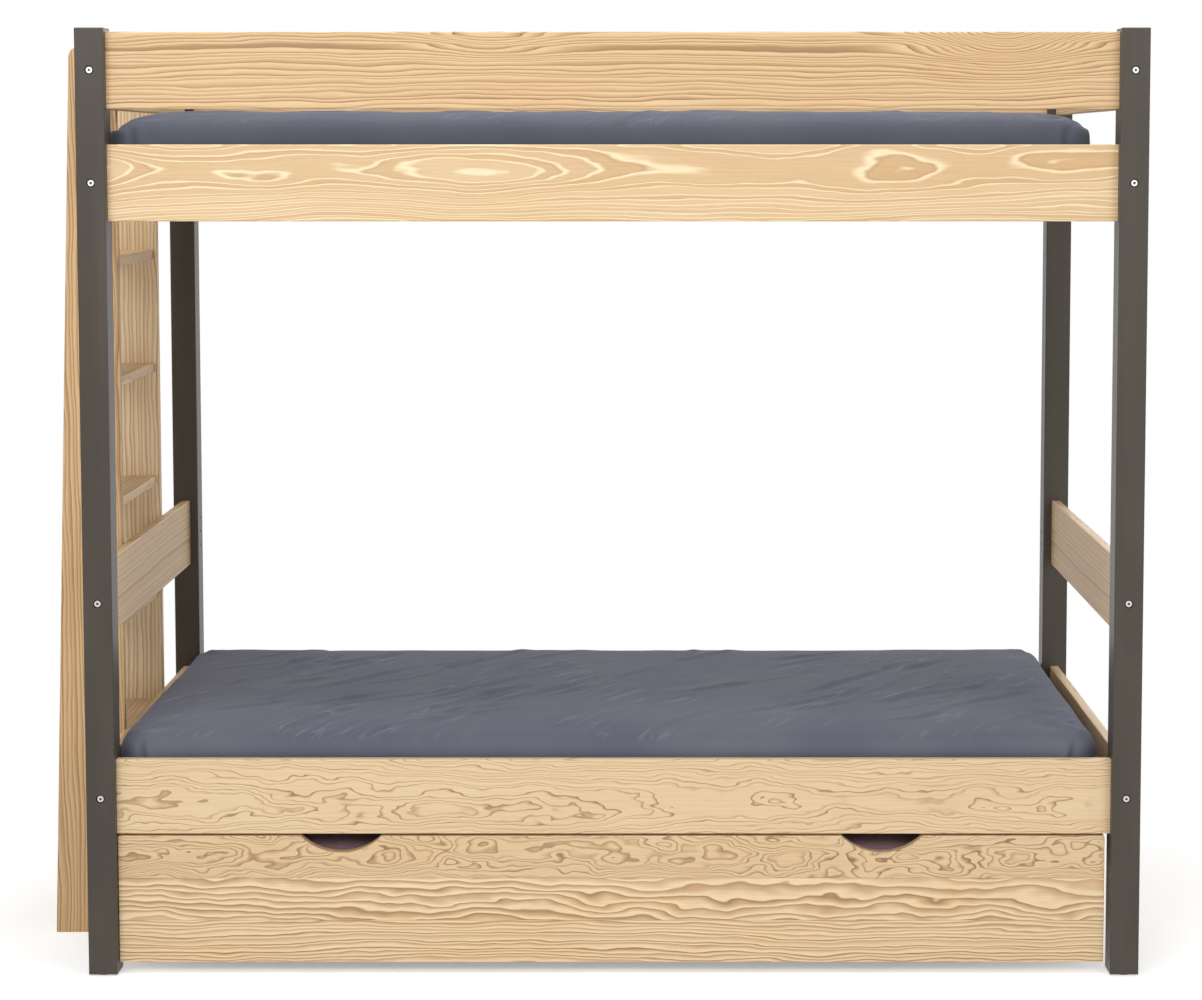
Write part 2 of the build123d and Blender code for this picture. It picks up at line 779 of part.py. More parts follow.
# Cleats along the trundle's front and back, with its slats across them
with BuildPart() as trundle_cleats:
    for face, wall in box_cleat_faces.items():
        middle = wall - face * cleat_side / 2
        start = trundle_x - box_cleat_length / 2
        with BuildSketch(Plane(origin=(start, middle, box_cleat_z), x_dir=(0, 1, 0), z_dir=(1, 0, 0))):
            Rectangle(cleat_side, cleat_side)
        extrude(amount=box_cleat_length)
        sink_screws(box_cleat_screws[face], cleat_side)
    pilot_screws(box_slat_screws, slat_thick, screw_bite + hole_end_gap)
save(trundle_cleats, "trundle_cleats")

box_slat_length = box_inner_width - 2 * box_slat_end_gap
trundle_slats = make_slats(
    trundle_x, box_middle_y, box_slat_bottom, box_slat_span, box_slat_length, box_slat_screws
)
save(trundle_slats, "trundle_slats")

trundle_mattress = make_mattress(
    trundle_x,
    box_middle_y,
    box_slat_bottom + slat_thick + soft_gap,
    2 * box_inner_half - trundle_spare_length,
    box_inner_width - trundle_spare_width,
    trundle_mattress_thick,
)
save(trundle_mattress, "trundle_mattress")

with BuildPart() as trundle_dowels:
    with Locations(*[place.offset(-box_dowel_bite) for side in panel_dowels for place in panel_dowels[side]]):
        Cylinder(dowel_radius, box_dowel_length, align=(Align.CENTER, Align.CENTER, Align.MIN))
save(trundle_dowels, "trundle_dowels")

# Blocks in the box's corners, which the casters are screwed up into
with BuildPart() as caster_blocks:
    for side, face in corners:
        with BuildSketch(Plane(origin=(block_x[side], caster_y[face], box_bottom))):
            Rectangle(caster_block_width, bracket_length)
        extrude(amount=cleat_side)
    for side in (LEFT, RIGHT):
        pilot_screws(own_screws(block_screws, side), box_board_thick, block_screw_bite + hole_end_gap)
        pilot_screws(in_blocks(side), bracket_steel, screw_bite + hole_end_gap)
save(caster_blocks, "caster_blocks")


# Fixed casters: a plate with two legs, an axle with riveted heads, and a dished wheel

leg_offset = wheel_width / 2 + wheel_side_gap
with BuildPart() as caster_brackets:
    for side, face in corners:
        with BuildSketch(Plane(origin=(caster_x[side], caster_y[face], plate_bottom))):
            RectangleRounded(bracket_width, bracket_length, board_edge_radius)
        extrude(amount=bracket_steel)
        for leg in (-1, 1):
            inner_face = caster_x[side] + leg * leg_offset
            with BuildSketch(Plane(origin=(inner_face, caster_y[face], 0), x_dir=(0, 1, 0), z_dir=(1, 0, 0))):
                with BuildLine():
                    Polyline(
                        (-fork_foot_radius, wheel_radius),
                        (-fork_root_width / 2, plate_bottom),
                        (fork_root_width / 2, plate_bottom),
                        (fork_foot_radius, wheel_radius),
                    )
                    ThreePointArc(
                        (fork_foot_radius, wheel_radius),
                        (0, wheel_radius - fork_foot_radius),
                        (-fork_foot_radius, wheel_radius),
                    )
                make_face()
                with Locations((0, wheel_radius)):
                    Circle(axle_radius + fit, mode=Mode.SUBTRACT)
            extrude(amount=leg * bracket_steel)
    for side in (LEFT, RIGHT):
        with Locations(*own_screws(bracket_screws, side)):
            Hole(screw_hole)
save(caster_brackets, "caster_brackets")

axle_places = [facing(caster_x[side], caster_y[face], wheel_radius, (1, 0, 0)) for side, face in corners]
axle_half = leg_offset + bracket_steel
with BuildPart() as caster_axles:
    with Locations(*axle_places):
        Cylinder(axle_radius, 2 * axle_half)
    with Locations(*[place.offset(axle_half) for place in axle_places]):
        Cylinder(axle_head_radius, axle_head_thick, align=(Align.CENTER, Align.CENTER, Align.MIN))
    with Locations(*[place.offset(-axle_half) for place in axle_places]):
        Cylinder(axle_head_radius, axle_head_thick, align=(Align.CENTER, Align.CENTER, Align.MAX))
save(caster_axles, "caster_axles")


def make_wheel(side, face):
    """A wheel turned about its axle: rim, dished sides and a hub with the axle's bore."""
    hub = axle_radius + fit
    half = wheel_width / 2
    section = Plane(origin=(caster_x[side], caster_y[face], wheel_radius), x_dir=(1, 0, 0), z_dir=(0, -1, 0))
    with BuildPart() as wheel:
        with BuildSketch(section):
            with BuildLine():
                Polyline(
                    (-half, hub),
                    (-half, axle_head_radius),
                    (wheel_dish - half, axle_head_radius + wheel_dish),
                    (wheel_dish - half, wheel_radius - wheel_rim),
                    (-half, wheel_radius - wheel_rim + wheel_dish),
                    (-half, wheel_radius - wheel_edge_radius),
                    (wheel_edge_radius - half, wheel_radius),
                    (half - wheel_edge_radius, wheel_radius),
                    (half, wheel_radius - wheel_edge_radius),
                    (half, wheel_radius - wheel_rim + wheel_dish),
                    (half - wheel_dish, wheel_radius - wheel_rim),
                    (half - wheel_dish, axle_head_radius + wheel_dish),
                    (half, axle_head_radius),
                    (half, hub),
                    close=True,
                )
            make_face()
        revolve(axis=Axis(section.origin, (1, 0, 0)))
    return wheel


for side, face in corners:
    save(make_wheel(side, face), f"caster_wheel_{face_names[face]}_{side_names[side]}")

with BuildPart() as trundle_screws:
    for side in (LEFT, RIGHT):
        add_screws(back_screws[side], box_screw_length)
        add_screws(own_screws(block_screws, side), box_board_thick + block_screw_bite)
    for face in (FRONT, BACK):
        add_screws(box_cleat_screws[face], cleat_side + screw_bite)
    add_screws(box_slat_screws, slat_thick + screw_bite)
save(trundle_screws, "trundle_screws")

# Pan-headed screws hold the brackets
with BuildPart() as caster_screws:
    for side in (LEFT, RIGHT):
        with Locations(*own_screws(bracket_screws, side)):
            Cylinder(screw_radius, bracket_steel + screw_bite, align=(Align.CENTER, Align.CENTER, Align.MAX))
            Cylinder(screw_head_radius, pan_head_thick, align=(Align.CENTER, Align.CENTER, Align.MIN))
save(caster_screws, "caster_screws")
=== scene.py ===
import math
import random
from dataclasses import dataclass

import bpy
import numpy as np
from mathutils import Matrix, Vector
from mathutils import noise as perlin


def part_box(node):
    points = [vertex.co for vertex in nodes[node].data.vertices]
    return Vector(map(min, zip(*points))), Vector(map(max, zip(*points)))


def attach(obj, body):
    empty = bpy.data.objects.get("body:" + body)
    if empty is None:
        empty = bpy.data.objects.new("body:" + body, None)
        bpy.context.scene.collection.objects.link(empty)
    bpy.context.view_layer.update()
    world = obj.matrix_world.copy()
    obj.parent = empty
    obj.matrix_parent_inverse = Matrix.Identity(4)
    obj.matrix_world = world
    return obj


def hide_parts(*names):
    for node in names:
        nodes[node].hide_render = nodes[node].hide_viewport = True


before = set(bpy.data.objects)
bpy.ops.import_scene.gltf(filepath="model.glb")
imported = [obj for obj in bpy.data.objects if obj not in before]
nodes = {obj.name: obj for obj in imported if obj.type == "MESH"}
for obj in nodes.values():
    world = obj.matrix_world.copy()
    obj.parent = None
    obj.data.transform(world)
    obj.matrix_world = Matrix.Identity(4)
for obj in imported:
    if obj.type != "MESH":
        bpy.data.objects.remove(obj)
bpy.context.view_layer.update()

# A bunk bed with a trundle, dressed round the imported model: metres, X along the bed, Z up


# Camera: at a standing eye's height in front of the bed, aimed a little down

EYE = (0.1625, -5.394, 1.6405)
EYE_PITCH = 4.0
LENS_MM = 75.4
SENSOR_MM = 36.0
SHIFT = (-0.051, -0.1457)
CLIP_END = 100.0


def make_camera():
    """The photograph's viewpoint and lens."""
    data = bpy.data.cameras.new("camera")
    data.sensor_width = SENSOR_MM
    data.lens = LENS_MM
    data.shift_x, data.shift_y = SHIFT
    data.clip_end = CLIP_END
    camera = bpy.data.objects.new("camera", data)
    camera.location = EYE
    camera.rotation_euler = (math.radians(90.0 - EYE_PITCH), 0.0, 0.0)
    bpy.context.scene.collection.objects.link(camera)
    bpy.context.scene.camera = camera


make_camera()
bpy.context.scene.view_settings.view_transform = "Standard"


# Shader nodes, in short


def srgb(red, green, blue):
    """A colour read off as 0 to 255, as the linear colour with alpha that a shader takes."""
    linear = []
    for value in (red, green, blue):
        part = value / 255.0
        linear.append(part / 12.92 if part <= 0.04045 else ((part + 0.055) / 1.055) ** 2.4)
    return (*linear, 1.0)


class Shader:
    """Adds nodes to one tree; a value for a socket is a number, a tuple or another socket."""

    def __init__(self, tree):
        self.tree = tree

    def add(self, kind, inputs=None, **settings):
        made = self.tree.nodes.new(kind)
        for key, value in settings.items():
            setattr(made, key, value)
        for key, value in (inputs or {}).items():
            self.put(made.inputs[key], value)
        return made

    def put(self, socket, value):
        if isinstance(value, bpy.types.NodeSocket):
            self.tree.links.new(value, socket)
        else:
            socket.default_value = value

    def math(self, operation, first, second=0.0, third=None, clamp=False):
        inputs = {0: first, 1: second}
        if third is not None:
            inputs[2] = third
        made = self.add("ShaderNodeMath", inputs, operation=operation, use_clamp=clamp)
        return made.outputs[0]

    def wave(self, value, pitch):
        """A sine that repeats after each pitch of the value."""
        return self.math("SINE", self.math("MULTIPLY", value, 2.0 * math.pi / pitch))

    def vector(self, operation, first, second=(0.0, 0.0, 0.0)):
        made = self.add("ShaderNodeVectorMath", {0: first, 1: second}, operation=operation)
        return made.outputs[0]

    def dot(self, first, second):
        made = self.add("ShaderNodeVectorMath", {0: first, 1: second}, operation="DOT_PRODUCT")
        return made.outputs["Value"]

    def split(self, vector):
        return self.add("ShaderNodeSeparateXYZ", {0: vector}).outputs

    def join(self, x, y, z):
        return self.add("ShaderNodeCombineXYZ", {0: x, 1: y, 2: z}).outputs[0]

    def place(self):
        """The shading point in the model's own metres."""
        return self.add("ShaderNodeTexCoord").outputs["Object"]

    def normal(self):
        return self.add("ShaderNodeNewGeometry").outputs["Normal"]

    def noise(self, vector, scale, detail=2.0, roughness=0.5, distortion=0.0, output="Fac"):
        inputs = {
            "Vector": vector,
            "Scale": scale,
            "Detail": detail,
            "Roughness": roughness,
            "Distortion": distortion,
        }
        return self.add("ShaderNodeTexNoise", inputs).outputs[output]

    def stretched_noise(self, vector, rates, *settings):
        """Noise with its own rate along each axis."""
        return self.noise(self.vector("MULTIPLY", vector, rates), 1.0, *settings)

    def white_noise(self, value, output):
        made = self.add("ShaderNodeTexWhiteNoise", {"W": value}, noise_dimensions="1D")
        return made.outputs[output]

    def ramp(self, value, low, high, to_low=0.0, to_high=1.0):
        inputs = {
            "Value": value,
            "From Min": low,
            "From Max": high,
            "To Min": to_low,
            "To Max": to_high,
        }
        made = self.add("ShaderNodeMapRange", inputs, interpolation_type="SMOOTHSTEP")
        return made.outputs["Result"]

    def mix(self, factor, first, second, blend="MIX"):
        made = self.add("ShaderNodeMix", data_type="RGBA", blend_type=blend)
        self.put(made.inputs["Factor"], factor)
        self.put(made.inputs[6], first)
        self.put(made.inputs[7], second)
        return made.outputs[2]

    def bump(self, height, strength, distance, under=None):
        """The normal over a height; under is a coarser normal that it lies on."""
        inputs = {"Height": height, "Strength": strength, "Distance": distance}
        if under is not None:
            inputs["Normal"] = under
        return self.add("ShaderNodeBump", inputs).outputs["Normal"]

    def seen(self):
        """One for rays from the camera, straight or mirrored, and zero for rays that light."""
        ray = self.add("ShaderNodeLightPath").outputs
        passed_on = self.math("MAXIMUM", ray["Is Glossy Ray"], ray["Is Transmission Ray"])
        return self.math("MAXIMUM", ray["Is Camera Ray"], passed_on)


def new_material(name):
    """A material with its Principled shader, and the helper that adds nodes to it."""
    material = bpy.data.materials.new(name)
    material.use_nodes = True
    shader = Shader(material.node_tree)
    return material, shader, material.node_tree.nodes["Principled BSDF"]


def dress(name, material):
    """Gives a CAD node its material."""
    slots = nodes[name].data.materials
    slots.clear()
    slots.append(material)


# Pine: growth rings in three dimensions, so each board shows the figure of the way it was sawn

RING_INPUTS = (
    "Seed", "Pith Y", "Pith Z", "Ring", "Taper", "Sway", "Ripple", "Ripple Rate", "Cross Rate",
)
SEED_SPREAD = (17.31, 5.17, 9.73)
SWAY_RATES = (1.5, 5.0, 5.0)
UNEVEN_RATE = 0.45
UNEVEN_RINGS = 1.6


def growth_rings_group():
    """Ring count outward from a wandering pith, at a point of a board with its grain along X."""
    group = bpy.data.node_groups.new("growth_rings", "ShaderNodeTree")
    face = group.interface
    face.new_socket("Point", in_out="INPUT", socket_type="NodeSocketVector")
    for name in RING_INPUTS:
        face.new_socket(name, in_out="INPUT", socket_type="NodeSocketFloat")
    face.new_socket("Rings", in_out="OUTPUT", socket_type="NodeSocketFloat")
    s = Shader(group)
    given = s.add("NodeGroupInput").outputs
    done = s.add("NodeGroupOutput")
    start = s.vector("MULTIPLY", s.join(given["Seed"], given["Seed"], given["Seed"]), SEED_SPREAD)

    # how the pith wanders along the board
    slow_point = s.vector("ADD", s.vector("MULTIPLY", given["Point"], SWAY_RATES), start)
    slow = s.noise(slow_point, 1.0, 1.5, output="Color")
    slow = s.vector("SUBTRACT", slow, (0.5, 0.5, 0.5))
    sway = s.add("ShaderNodeVectorMath", {0: slow, "Scale": given["Sway"]}, operation="SCALE")
    moved = s.split(s.vector("ADD", given["Point"], sway.outputs[0]))

    # how the rings waver
    rate = s.join(given["Ripple Rate"], given["Cross Rate"], given["Cross Rate"])
    fine_point = s.vector("ADD", s.vector("MULTIPLY", given["Point"], rate), start)
    fine = s.noise(fine_point, 1.0, 2.0, 0.45)
    ripple = s.math("MULTIPLY", s.math("SUBTRACT", fine, 0.5), given["Ripple"])

    # the distance from the pith, counted in rings of uneven width
    along = s.split(given["Point"])[0]
    deep = s.math("SUBTRACT", moved[1], given["Pith Y"])
    high = s.math("SUBTRACT", moved[2], given["Pith Z"])
    squares = s.math("ADD", s.math("MULTIPLY", deep, deep), s.math("MULTIPLY", high, high))
    radius = s.math("MULTIPLY_ADD", along, given["Taper"], s.math("SQRT", squares))
    rings = s.math("DIVIDE", s.math("ADD", radius, ripple), given["Ring"])
    inputs = {"W": rings, "Scale": UNEVEN_RATE, "Detail": 1.0}
    uneven = s.add("ShaderNodeTexNoise", inputs, noise_dimensions="1D").outputs["Fac"]
    s.put(done.inputs["Rings"], s.math("MULTIPLY_ADD", uneven, UNEVEN_RINGS, rings))
    return group


growth_rings = growth_rings_group()

# For each way the grain runs, the model's axes that go along, through and across the board
AXES = {"x": (0, 1, 2), "y": (1, 0, 2), "z": (2, 1, 0), "tread": (1, 2, 0)}


@dataclass(frozen=True)
class Figure:
    """How one board's grain looks: the log it was cut from, its rings and its colours."""

    pith: tuple  # the log's centre from the board's, through and across the board
    ring: float  # width of a ring
    taper: float  # change of radius to the metre along the board
    sway: float  # how far the pith wanders
    ripple: float  # how far a ring wavers
    rate: float  # ripples to the metre along the grain
    cross: float  # ripples to the metre across the grain
    rise: tuple  # the share of a ring's width over which its latewood comes in
    fall: float  # the share of a ring's width at which its latewood ends
    early: tuple
    late: tuple
    line: float  # strength of the dark line that ends a ring
    knots: tuple = ()  # a place, a reach and a push in rings for each


EULER = 2.718
RING_VARIETY = 0.35
LINE_SHARE = 0.16
LINE_GAIN = 2.0
LINE_SHADE = 0.74


def ring_colour(s, point, figure, seed):
    """Colour of the wood at a point of the board, and how much of it is latewood."""
    rings = s.add("ShaderNodeGroup", node_tree=growth_rings)
    values = {
        "Point": point,
        "Seed": seed,
        "Pith Y": figure.pith[0],
        "Pith Z": figure.pith[1],
        "Ring": figure.ring,
        "Taper": figure.taper,
        "Sway": figure.sway,
        "Ripple": figure.ripple,
        "Ripple Rate": figure.rate,
        "Cross Rate": figure.cross,
    }
    for key, value in values.items():
        s.put(rings.inputs[key], value)
    count = rings.outputs[0]
    for place, reach, push in figure.knots:
        away = s.vector("DIVIDE", s.vector("SUBTRACT", point, place), reach)
        swell = s.math("POWER", EULER, s.math("MULTIPLY", s.dot(away, away), -1.0))
        count = s.math("MULTIPLY_ADD", swell, push, count)

    part = s.math("FRACT", count)
    own = s.white_noise(s.math("FLOOR", count), "Value")
    falling = s.ramp(part, figure.fall, 1.0, 1.0, 0.0)
    late = s.math("MULTIPLY", s.ramp(part, *figure.rise), falling)
    strength = s.math("MULTIPLY_ADD", own, RING_VARIETY, 1.0 - RING_VARIETY)
    late = s.math("MULTIPLY", late, strength)
    colour = s.mix(late, srgb(*figure.early), srgb(*figure.late))
    edge = s.math("MULTIPLY", s.ramp(part, figure.fall - LINE_SHARE, figure.fall), falling)
    edge = s.math("MULTIPLY", s.math("MULTIPLY", edge, own), figure.line * LINE_GAIN, clamp=True)
    dark = srgb(*(value * LINE_SHADE for value in figure.late))
    return s.mix(edge, colour, dark), late


def board_point(s, grain, centre):
    """The shading point from a board's centre: with its grain turned along X, and unturned."""
    parts = s.split(s.vector("SUBTRACT", s.place(), centre))
    return s.join(*(parts[axis] for axis in AXES[grain])), parts


STREAK_RATES = (7.0, 420.0, 420.0)
TONE_RATES = (2.2, 14.0, 14.0)
PORE_RATES = (30.0, 900.0, 900.0)
STREAK_BROWN = srgb(190, 150, 104)
TONE_BROWN = srgb(238, 204, 160)
PORE_BROWN = srgb(150, 108, 66)
SEAM_BROWN = srgb(150, 112, 72)
EARLY_ROUGHNESS = 0.52
LATE_GLOSS = -0.10


def finish_pine(s, bsdf, colour, late, point):
    """Fibres, slow tones and the satin lacquer over a board's rings."""
    streaks = s.stretched_noise(point, STREAK_RATES, 3.0, 0.6)
    tone = s.stretched_noise(point, TONE_RATES, 2.0)
    pores = s.stretched_noise(point, PORE_RATES, 2.0)
    colour = s.mix(s.ramp(streaks, 0.35, 0.75, 0.0, 0.16), colour, STREAK_BROWN, "MULTIPLY")
    colour = s.mix(s.ramp(tone, 0.3, 0.7, 0.0, 0.14), colour, TONE_BROWN, "MULTIPLY")
    colour = s.mix(s.ramp(pores, 0.62, 0.75, 0.0, 0.18), colour, PORE_BROWN, "MULTIPLY")
    s.put(bsdf.inputs["Base Color"], colour)
    s.put(bsdf.inputs["Roughness"], s.math("MULTIPLY_ADD", late, LATE_GLOSS, EARLY_ROUGHNESS))
    height = s.math("MULTIPLY_ADD", late, 0.5, s.math("MULTIPLY", streaks, 0.6))
    s.put(bsdf.inputs["Normal"], s.bump(height, 0.25, 0.0004))
    bsdf.inputs["Specular IOR Level"].default_value = 0.35


def pine(name, grain, figure, seed):
    """A pine material for one board, with the board's own figure."""
    material, s, bsdf = new_material(f"pine_{name}")
    low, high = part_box(name)
    point, _ = board_point(s, grain, tuple((low + high) / 2))
    colour, late = ring_colour(s, point, figure, seed)
    finish_pine(s, bsdf, colour, late, point)
    dress(name, material)


def pine_strips(name, figures, seed):
    """A pine material for a panel glued from boards one above another, the first at the top."""
    material, s, bsdf = new_material(f"pine_{name}")
    low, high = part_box(name)
    point, parts = board_point(s, "x", tuple((low + high) / 2))
    tall = high.z - low.z
    colour = late = None
    for number, figure in enumerate(figures):
        centre = tall * (0.5 - (number + 0.5) / len(figures))
        own = s.vector("SUBTRACT", point, (0.0, 0.0, centre))
        own_colour, own_late = ring_colour(s, own, figure, seed + number)
        if colour is None:
            colour, late = own_colour, own_late
            continue
        seam = tall * (0.5 - number / len(figures))
        below = s.math("LESS_THAN", parts[2], seam)
        colour = s.mix(below, colour, own_colour)
        late = s.math("MULTIPLY_ADD", below, s.math("SUBTRACT", own_late, late), late)
        line = s.math("ABSOLUTE", s.math("SUBTRACT", parts[2], seam))
        colour = s.mix(s.ramp(line, 0.0002, 0.0009, 0.45, 0.0), colour, SEAM_BROWN)
    finish_pine(s, bsdf, colour, late, point)
    dress(name, material)


# How far apart in the timber a row's pieces may lie, and a number that keeps their count positive
ROW_JUMP = (9.0, 0.05, 0.08)
ROW_START = 64.0


def pine_row(name, grain, figure, seed, axis, pitch):
    """A pine material for a row of equal pieces, each cut from its own stretch of timber."""
    material, s, bsdf = new_material(f"pine_{name}")
    low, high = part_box(name)
    point, parts = board_point(s, grain, tuple((low + high) / 2))
    index = s.math("MULTIPLY_ADD", parts[axis], 1.0 / pitch, 0.5 + ROW_START)
    own = s.white_noise(s.math("FLOOR", index), "Color")
    point = s.vector("ADD", point, s.vector("MULTIPLY", own, ROW_JUMP))
    colour, late = ring_colour(s, point, figure, seed)
    finish_pine(s, bsdf, colour, late, point)
    dress(name, material)


# Figures read from the boards: wide cathedrals, fine straight lines, small wild arches
BOLD = Figure(
    pith=(0.064, 0.032), ring=0.0052, taper=0.010, sway=0.075, ripple=0.009, rate=7.0, cross=30.0,
    rise=(0.03, 0.20), fall=0.80, early=(252, 232, 194), late=(215, 181, 137), line=0.12,
)
STRAIGHT = Figure(
    pith=(0.05, 0.30), ring=0.0084, taper=0.004, sway=0.040, ripple=0.018, rate=5.5, cross=30.0,
    rise=(0.20, 0.90), fall=0.95, early=(228, 197, 154), late=(182, 144, 102), line=0.50,
    knots=(
        ((-0.245, 0.0, 0.064), (0.11, 1.0, 0.034), -3.2),
        ((0.765, 0.0, 0.090), (0.13, 1.0, 0.070), -12.0),
    ),
)
FINE = Figure(
    pith=(0.044, -0.010), ring=0.0040, taper=0.012, sway=0.050, ripple=0.024, rate=9.0, cross=27.0,
    rise=(0.62, 0.96), fall=0.975, early=(231, 207, 168), late=(190, 156, 113), line=0.40,
)
WILD = Figure(
    pith=(0.036, 0.004), ring=0.0040, taper=0.010, sway=0.050, ripple=0.042, rate=9.0, cross=22.0,
    rise=(0.50, 0.95), fall=0.965, early=(226, 200, 161), late=(180, 147, 106), line=0.40,
)
WAVY = Figure(
    pith=(0.030, -0.120), ring=0.0140, taper=0.016, sway=0.060, ripple=0.062, rate=6.5, cross=17.0,
    rise=(0.10, 0.90), fall=0.92, early=(242, 220, 182), late=(190, 153, 108), line=0.40,
)
LINED = Figure(
    pith=(0.030, -0.130), ring=0.0076, taper=0.006, sway=0.040, ripple=0.024, rate=7.0, cross=28.0,
    rise=(0.22, 0.90), fall=0.94, early=(240, 216, 177), late=(180, 144, 101), line=0.45,
)
WIDE = Figure(
    pith=(0.08, -0.02), ring=0.0070, taper=0.012, sway=0.060, ripple=0.020, rate=7.0, cross=27.0,
    rise=(0.15, 0.88), fall=0.93, early=(234, 208, 166), late=(186, 149, 104), line=0.40,
)
CLOSE = Figure(
    pith=(0.04, -0.20), ring=0.0075, taper=0.006, sway=0.040, ripple=0.018, rate=6.0, cross=28.0,
    rise=(0.25, 0.90), fall=0.94, early=(234, 206, 164), late=(186, 148, 103), line=0.40,
)
CALM = Figure(
    pith=(0.05, -0.26), ring=0.0080, taper=0.004, sway=0.030, ripple=0.010, rate=6.0, cross=26.0,
    rise=(0.20, 0.92), fall=0.95, early=(226, 200, 162), late=(192, 158, 116), line=0.30,
)
# painted light: a paler copy of the ladder's pine, for the back stile that lies in shade
PAINTED_LIGHT_PINE = Figure(
    pith=(0.05, 0.22), ring=0.0085, taper=0.006, sway=0.040, ripple=0.016, rate=6.0, cross=26.0,
    rise=(0.22, 0.90), fall=0.94, early=(240, 219, 184), late=(198, 168, 128), line=0.35,
)
SHADED = Figure(
    pith=(0.04, -0.20), ring=0.0080, taper=0.006, sway=0.036, ripple=0.014, rate=6.0, cross=28.0,
    rise=(0.25, 0.90), fall=0.94, early=(222, 188, 143), late=(168, 131, 88), line=0.40,
)

# Paint, steel, plastic and fabric

POST_GRAIN_RATES = (260.0, 260.0, 5.0)
POST_CLOUD_RATES = (9.0, 9.0, 2.0)
EASED_EDGE = 0.0022


def dark_paint():
    """Dark brown-grey paint over planed pine: a trace of the grain, eased edges a little worn."""
    material, s, bsdf = new_material("dark_paint")
    place = s.place()
    grain = s.stretched_noise(place, POST_GRAIN_RATES, 3.0, 0.6)
    cloud = s.stretched_noise(place, POST_CLOUD_RATES, 3.0)
    edge = s.add("ShaderNodeBevel", {"Radius": EASED_EDGE}, samples=4)
    worn = s.ramp(s.dot(edge.outputs["Normal"], s.normal()), 0.80, 0.97, 1.0, 0.0)
    worn = s.math("MULTIPLY", worn, s.ramp(cloud, 0.45, 0.62, 0.05, 0.4))
    colour = s.mix(s.ramp(cloud, 0.3, 0.7), srgb(72, 66, 58), srgb(81, 75, 67))
    colour = s.mix(s.ramp(grain, 0.35, 0.7, 0.0, 0.16), colour, srgb(58, 53, 47))
    colour = s.mix(worn, colour, srgb(112, 106, 98))
    s.put(bsdf.inputs["Base Color"], colour)
    s.put(bsdf.inputs["Roughness"], s.math("MULTIPLY_ADD", grain, 0.16, 0.30))
    s.put(bsdf.inputs["Normal"], s.bump(grain, 0.18, 0.0003))
    bsdf.inputs["Specular IOR Level"].default_value = 0.28
    return material


SCRATCH_RATES = (900.0, 2400.0, 900.0)
# how far the painted shade looks for a hollow
SHADE_REACH = 0.006


def bright_steel():
    """Zinc-plated steel, slightly clouded, with painted shade that darkens it down in its sockets.
    """
    material, s, bsdf = new_material("bright_steel")
    place = s.place()
    cloud = s.noise(place, 420.0, 3.0)
    scratch = s.stretched_noise(place, SCRATCH_RATES, 2.0)
    reach = {"Distance": SHADE_REACH}
    socket_occlusion = s.add("ShaderNodeAmbientOcclusion", reach, samples=8, only_local=True)
    outside_painted_shade = s.ramp(socket_occlusion.outputs["AO"], 0.45, 0.85)
    shine = s.mix(cloud, srgb(205, 205, 202), srgb(228, 228, 224))
    # painted shade: the steel goes near black where ambient occlusion finds a hollow, such as a
    # bolt's socket
    s.put(bsdf.inputs["Base Color"], s.mix(outside_painted_shade, srgb(26, 26, 26), shine))
    s.put(bsdf.inputs["Roughness"], s.math("MULTIPLY_ADD", scratch, 0.25, 0.22))
    bsdf.inputs["Metallic"].default_value = 1.0
    return material


def plastic(name, colour, roughness):
    """A plain material with a fine grain: moulded plastic, or the beech of a dowel."""
    material, s, bsdf = new_material(name)
    place = s.place()
    grain = s.noise(place, 2200.0, 2.0)
    shade = s.noise(place, 60.0, 2.0)
    darker = tuple(part * 0.72 for part in colour[:3]) + (1.0,)
    s.put(bsdf.inputs["Base Color"], s.mix(shade, darker, colour))
    s.put(bsdf.inputs["Roughness"], s.math("MULTIPLY_ADD", grain, 0.2, roughness))
    s.put(bsdf.inputs["Normal"], s.bump(grain, 0.2, 0.0001))
    return material


STRAP_RIB = 0.0022
STRAP_THREAD = 0.0015


def webbing():
    """Woven strap: ribs across the strap and threads along it."""
    material, s, bsdf = new_material("webbing")
    parts = s.split(s.place())
    weave = s.math("MULTIPLY", s.wave(parts[0], STRAP_RIB), s.wave(parts[1], STRAP_THREAD))
    colour = s.mix(s.ramp(weave, -1.0, 1.0), srgb(196, 190, 176), srgb(226, 221, 208))
    s.put(bsdf.inputs["Base Color"], colour)
    bsdf.inputs["Roughness"].default_value = 0.85
    s.put(bsdf.inputs["Normal"], s.bump(weave, 0.5, 0.0003))
    return material


KNIT_RIB = 0.0016
KNIT_COURSE = 0.0012
HEATHER_RATES = (240.0, 900.0, 240.0)
CREASE_SLANT = -52.0
CREASE_RATES = (3.2, 34.0, 20.0)
PATCH_RATES = (5.0, 7.0, 7.0)
SHEEN = srgb(190, 195, 215)


